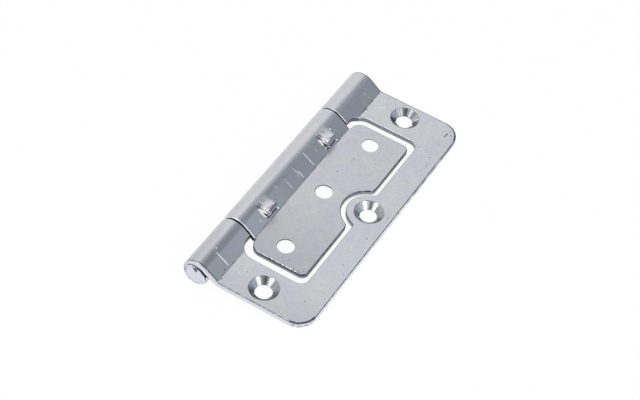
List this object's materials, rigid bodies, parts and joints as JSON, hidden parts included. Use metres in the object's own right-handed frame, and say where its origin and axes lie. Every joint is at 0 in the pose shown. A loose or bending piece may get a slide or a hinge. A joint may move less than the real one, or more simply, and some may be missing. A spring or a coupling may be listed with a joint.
{
  "type": "hurl hinge",
  "caption": "Flush hinge in zinc-plated sheet steel: a frame-shaped leaf with a smaller leaf nested in its cut-out, both curled round a shared pin, with countersunk screw holes.",
  "frame": {"origin": "midway between the outer leaf's two end screw holes, on its back face, the one that lies against the door frame", "axes": "+X runs from the pin across the leaves to their outer edges, +Y along the pin, +Z out of the outer leaf's front face, where its screw heads sit. The rest pose is the hinge folded shut, both leaves in one plane."},
  "size_m": [0.0433, 0.1002, 0.01],
  "materials": {
    "leaf_zinc": "bright zinc plating, satin, lightly handled",
    "pin_zinc": "bright zinc plating, satin cut ends"
  },
  "bodies": {
    "outer": {"outer_leaf": "leaf_zinc", "hinge_pin": "pin_zinc"},
    "inner": {"inner_leaf": "leaf_zinc"}
  },
  "joints": [
    {"name": "leaf_swing", "type": "hinge", "parent": "outer", "child": "inner", "pos_m": [-0.0198, 0, 0.001], "axis": [0, -1, 0], "continuous": true}
  ]
}
